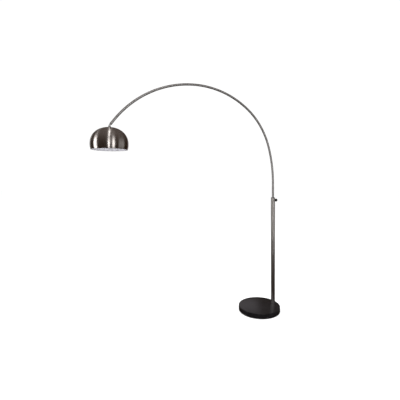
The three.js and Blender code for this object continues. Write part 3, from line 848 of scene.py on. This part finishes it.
def make_leads():
    start, end = -5 * MM, ARM_LENGTH - PLUG_START - PLUG_SHOULDER - PLUG_DEPTH - 2 * MM
    radius = LEAD_RADIUS
    outline = rounded((0, start), (radius, start, 0.4 * MM), (radius, end, 0.4 * MM), (0, end))
    piece("arm_lead", turned(spread(outline, 10 * MM), on_arm, 20), LEAD_SHEATH)

    curve = bpy.data.curves.new("pole_lead_line", "CURVE")
    curve.dimensions = "3D"
    curve.bevel_depth = radius
    curve.bevel_resolution = 6
    curve.use_fill_caps = True
    curve.resolution_u = 16
    spline = curve.splines.new("BEZIER")
    stops = (((0, POLE_BORE - 8 * MM, GROMMET_Z), (0, -4 * MM, 6 * MM)),
             ((0, 0, GROMMET_Z + 55 * MM), (0, 0, 20 * MM)),
             ((0, 0, high("pole_lead").z), (0, 0, 60 * MM)))
    spline.bezier_points.add(len(stops) - 1)
    for point, (place, way) in zip(spline.bezier_points, stops):
        here = Vector((POLE_X, 0, 0)) + Vector(place)
        point.co = here
        point.handle_left = here - Vector(way)
        point.handle_right = here + Vector(way)
    line = bpy.data.objects.new("pole_lead_line", curve)
    bpy.context.scene.collection.objects.link(line)
    bpy.context.view_layer.update()
    mesh = bpy.data.meshes.new_from_object(line.evaluated_get(bpy.context.evaluated_depsgraph_get()))
    bm = bmesh.new()
    bm.from_mesh(mesh)
    bmesh.ops.remove_doubles(bm, verts=bm.verts, dist=0.001 * MM)
    bpy.data.objects.remove(line)
    bpy.data.meshes.remove(mesh)
    piece("pole_lead", bm, LEAD_SHEATH)

    node = "head_lead"
    piece(node, rod(radius, low(node).z, high(node).z, upright(SHADE_X), 24, 0.4 * MM), LEAD_SHEATH)


# ---------------------------------------------------------------- knuckle
TONGUE = 6 * MM               # thickness of the tongue
PIN = 2.5 * MM                # radius of the screw
PIN_HOLE = PIN + 0.15 * MM
CHEEK = 4.5 * MM              # thickness of each cheek of the fork


def make_arc_end_plug():
    end = ARM_LENGTH
    shoulder = end - PLUG_START - PLUG_SHOULDER
    outline = rounded((0, shoulder - PLUG_DEPTH), (PLUG_RADIUS, shoulder - PLUG_DEPTH, 1 * MM),
                      (PLUG_RADIUS, shoulder + GAP), (TUBE_RADIUS, shoulder + GAP, 0.3 * MM),
                      (TUBE_RADIUS, end - PLUG_START, 2.2 * MM), (0, end - PLUG_START), steps=6)
    plug = turned(spread(outline, 4 * MM), on_arm, 64)
    centre, heading = arm_at(end)
    turn = Matrix.Translation(centre) @ Matrix.Rotation(-heading, 4, "Y")
    tip_radius = 7 * MM
    tongue_length = PLUG_START + 4 * MM
    tongue = block((2 * tip_radius, TONGUE, tongue_length), (0, 0, -tongue_length / 2))
    tongue.transform(turn)
    across = along_y(centre.x, centre.z)
    tip = rod(tip_radius, -TONGUE / 2, TONGUE / 2, across, 64)
    eye = rod(PIN_HOLE, -TONGUE, TONGUE, across, 40)
    lead_hole = rod(LEAD_RADIUS + GAP, -PLUG_START - 60 * MM, -PLUG_START - 10 * MM, upright(), 32)
    lead_hole.transform(turn)
    made = combined("plug", plug, ("UNION", tongue), ("UNION", tip), ("DIFFERENCE", eye),
                    ("DIFFERENCE", lead_hole), rounding=0.3 * MM)
    piece("arc_end_plug", made, KNUCKLE_STEEL)


def make_knuckle_fork():
    floor = low("knuckle_fork").z
    top_of_foot = floor + 3.7 * MM
    foot_radius = 12 * MM
    head_radius = 7.5 * MM
    centre = upright(PIVOT.x)
    foot = turned(rounded((0, floor), (foot_radius, floor, 0.4 * MM),
                          (foot_radius, top_of_foot, 1.6 * MM), (0, top_of_foot), steps=6), centre, 72)
    slot = TONGUE / 2 + GAP
    cheek = slot + CHEEK
    across = along_y(PIVOT.x, PIVOT.z)
    height = PIVOT.z - top_of_foot + 1 * MM
    body = block((2 * head_radius, 2 * cheek, height), (PIVOT.x, 0, PIVOT.z - height / 2))
    crown = rod(head_radius, -cheek, cheek, across, 72)
    gap = block((40 * MM, 2 * slot, 40 * MM), (PIVOT.x, 0, top_of_foot + 20 * MM))
    fork = combined("fork", foot, ("UNION", body), ("UNION", crown), ("DIFFERENCE", gap),
                    ("DIFFERENCE", rod(PIN_HOLE, -20 * MM, 20 * MM, across, 40)),
                    ("DIFFERENCE", rod(NUT_HOLE_RADIUS, floor - OVERSHOOT, floor + 2.2 * MM, centre, 48)),
                    rounding=0.35 * MM)
    piece("knuckle_fork", fork, KNUCKLE_STEEL)

    head = -cheek - GAP
    head_end = head - 3 * MM
    nut_end = cheek + 3.6 * MM
    tip = cheek + 4.2 * MM
    screw = turned(rounded((0, head_end), (4.4 * MM, head_end, 1.4 * MM), (4.4 * MM, head, 0.3 * MM),
                           (PIN, head), (PIN, nut_end), (PIN - 0.5 * MM, tip), (0, tip), steps=6),
                   across, 56)
    socket = rod(1.7 * MM, head - OVERSHOOT, head - 1.2 * MM, across, 6)
    piece("knuckle_screw", combined("screw", screw, ("DIFFERENCE", socket)), ZINC)
    start, end = cheek + GAP, nut_end
    nut = combined("nut", turned(rounded((0, start), (4.1 * MM, start), (4.5 * MM, start + 0.4 * MM),
                                         (4.5 * MM, end - 0.4 * MM), (4.1 * MM, end), (0, end)),
                                 across, 6),
                   ("DIFFERENCE", rod(PIN + 0.1 * MM, start - 1 * MM, end + 1 * MM, across, 40)))
    piece("knuckle_nut", nut, ZINC)


# ---------------------------------------------------------------- shade and what hangs in it
def dome_line(inset, steps=48):
    """The dome's outline from the rim up to the flat round its hole, an inset inside its outer face."""
    radius = SHADE_RADIUS - inset
    crown = SHADE_TOP - SHADE_EQUATOR - inset
    power = 2 / SHADE_FULLNESS

    def swell(share):
        return math.copysign(abs(share) ** power, share)

    drop = (SHADE_EQUATOR - SHADE_RIM) / (SHADE_TOP - SHADE_EQUATOR)
    rim = -math.asin(drop ** (1 / power))
    flat_radius = 14 * MM
    seat = math.acos((flat_radius / radius) ** (1 / power))
    line = []
    for i in range(steps + 1):
        angle = rim + (seat - rim) * i / steps
        height = crown * swell(math.sin(angle)) / swell(math.sin(seat))
        line.append((radius * swell(math.cos(angle)), SHADE_EQUATOR + height))
    return line + [(NUT_HOLE_RADIUS, line[-1][1])]


def make_shade():
    outer = dome_line(0)
    inner = dome_line(SHADE_WALL)
    bead = 1.1 * MM
    foot = Vector(outer[0])
    centre = Vector((foot.x - bead, SHADE_RIM + bead))
    roll = [centre + bead * Vector((math.cos(a), math.sin(a)))
            for a in (math.radians(-200 + 20 * k) for k in range(11))]
    outer = [point for point in outer if point[1] > SHADE_RIM + 1.4 * bead]
    inner = [point for point in inner if point[1] > SHADE_RIM + 1.8 * bead]
    outline = [tuple(point) for point in roll] + outer + inner[::-1]
    bm = turned(outline, upright(SHADE_X), 192, second_material_from=len(roll) + len(outer))
    piece("shade", bm, SHADE_METAL, LACQUER_WITH_PAINTED_SHADE)


def make_shade_fixings():
    centre = upright(SHADE_X)
    for node in ("shade_washer_outer", "shade_washer_inner"):
        washer = ring(NUT_HOLE_RADIUS, half_width(node), low(node).z, high(node).z, centre)
        piece(node, washer, ZINC)
    bottom, top = low("shade_nipple").z, high("shade_nipple").z
    bore = 3.6 * MM
    tip = 0.4 * MM
    outline = rounded((bore, bottom), (NIPPLE_RADIUS - tip, bottom), (NIPPLE_RADIUS, bottom + tip),
                      (NIPPLE_RADIUS, top - tip), (NIPPLE_RADIUS - tip, top), (bore, top))
    nipple = turned(spread(outline, 0.16 * MM),
                    threaded(centre, bottom + tip, top - tip, NIPPLE_RADIUS, 1 * MM, 0.5 * MM), 48)
    piece("shade_nipple", nipple, ZINC)
    bottom, top = low("nipple_nut").z, high("nipple_nut").z
    nut = combined("nipple_nut_body",
                   turned(rounded((0, bottom), (7.2 * MM, bottom), (7.9 * MM, bottom + 0.5 * MM),
                                  (7.9 * MM, top - 0.5 * MM), (7.2 * MM, top), (0, top)), centre, 6),
                   ("DIFFERENCE", rod(NIPPLE_RADIUS + 0.1 * MM, bottom - 1 * MM, top + 1 * MM,
                                      centre, 48)))
    piece("nipple_nut", nut, BRASS)


def make_lampholder():
    centre = upright(SHADE_X)
    top, bottom = high("holder_cap").z, low("holder_cap").z
    shoulder = top - 8 * MM
    ceiling = top - 3 * MM
    cap_bore = 16.7 * MM
    cap = turned(rounded((NUT_HOLE_RADIUS, top, 0.5 * MM), (14 * MM, top, 1.5 * MM),
                         (HOLDER_RADIUS, shoulder, 3 * MM), (HOLDER_RADIUS, bottom, 0.4 * MM),
                         (cap_bore, bottom), (cap_bore, shoulder), (12 * MM, ceiling, 1 * MM),
                         (NUT_HOLE_RADIUS, ceiling)), centre, 96)
    piece("holder_cap", cap, BLACK_PLASTIC)

    skirt = low("holder_body").z
    bore, hole, neck = 14.3 * MM, 4.5 * MM, 16.2 * MM
    rest, roof, ceiling = bottom - GAP, bottom + 8 * MM, bottom + 5 * MM
    outline = rounded((bore, skirt, 0.6 * MM), (HOLDER_SKIRT_RADIUS, skirt, 0.6 * MM),
                      (HOLDER_SKIRT_RADIUS, bottom - 6 * MM), (HOLDER_RADIUS, bottom - 5 * MM, 0.5 * MM),
                      (HOLDER_RADIUS, rest, 0.4 * MM), (neck, rest), (neck, roof, 0.5 * MM),
                      (hole, roof), (hole, ceiling), (bore, ceiling))
    body = turned(spread(outline, 0.6 * MM),
                  threaded(centre, skirt + 1 * MM, bottom - 7 * MM, HOLDER_SKIRT_RADIUS,
                           2.5 * MM, 0.7 * MM), 96)
    piece("holder_body", body, BLACK_PLASTIC)

    start, end = low("holder_ring").z, high("holder_ring").z
    bore = HOLDER_SKIRT_RADIUS + GAP
    outline = rounded((bore, start, 0.4 * MM), (HOLDER_RING_RADIUS, start, 1.2 * MM),
                      (HOLDER_RING_RADIUS, end, 1.2 * MM), (bore, end, 0.4 * MM))
    collar = turned(spread(outline, 0.7 * MM),
                    fluted(centre, start, end, HOLDER_RING_RADIUS - 1 * MM, 36, 0.5 * MM), 216)
    piece("holder_ring", collar, BLACK_PLASTIC)

    start, end = low("holder_contact").z, high("holder_contact").z
    piece("holder_contact", turned(rounded((0, start), (3 * MM, start, 1 * MM),
                                           (4 * MM, start + 2 * MM, 0.4 * MM), (4 * MM, end), (0, end)),
                                   centre, 48), BRASS)


def make_bulb():
    centre = upright(SHADE_X)
    bottom, top = low("bulb_cap").z, high("bulb_cap").z
    thread = BULB_THREAD_RADIUS
    cap = turned(spread(rounded((0, top), (4 * MM, top - 0.5 * MM, 0.5 * MM), (5.5 * MM, top - 2 * MM),
                                (11 * MM, top - 3.5 * MM, 1 * MM), (thread, top - 6 * MM, 0.6 * MM),
                                (thread, bottom), (0, bottom)), 0.5 * MM),
                 threaded(centre, bottom + 3 * MM, top - 6 * MM, thread, 3.6 * MM, 1.1 * MM), 72)
    piece("bulb_cap", cap, ZINC)

    glass_top = high("bulb_globe").z
    low_point = low("bulb_globe").z
    radius = half_width("bulb_globe")
    centre_z = low_point + radius
    neck_points = (Vector((12.4 * MM, glass_top)), Vector((14.5 * MM, glass_top - 24 * MM)),
                   Vector((radius, centre_z + 20 * MM)), Vector((radius, centre_z)))
    line = []
    neck_steps = 24
    round_steps = 20
    for i in range(neck_steps + 1):
        t = i / neck_steps
        weights = ((1 - t) ** 3, 3 * t * (1 - t) ** 2, 3 * t * t * (1 - t), t ** 3)
        line.append(tuple(sum((w * p for w, p in zip(weights, neck_points)), Vector((0, 0)))))
    for i in range(1, round_steps + 1):
        angle = math.pi / 2 * i / round_steps
        across = radius * math.cos(angle) if i < round_steps else 0.0
        line.append((across, centre_z - radius * math.sin(angle)))
    piece("bulb_globe", turned([(0, glass_top)] + line, centre, 96), OPAL_GLASS)


make_camera()
make_world()
make_lights()
make_floor()
make_base()
make_pole_fixings()
make_pole()
make_clamp()
make_arm()
make_leg_fittings()
make_leads()
make_arc_end_plug()
make_knuckle_fork()
make_shade()
make_shade_fixings()
make_lampholder()
make_bulb()

bpy.context.scene.view_settings.view_transform = "Standard"
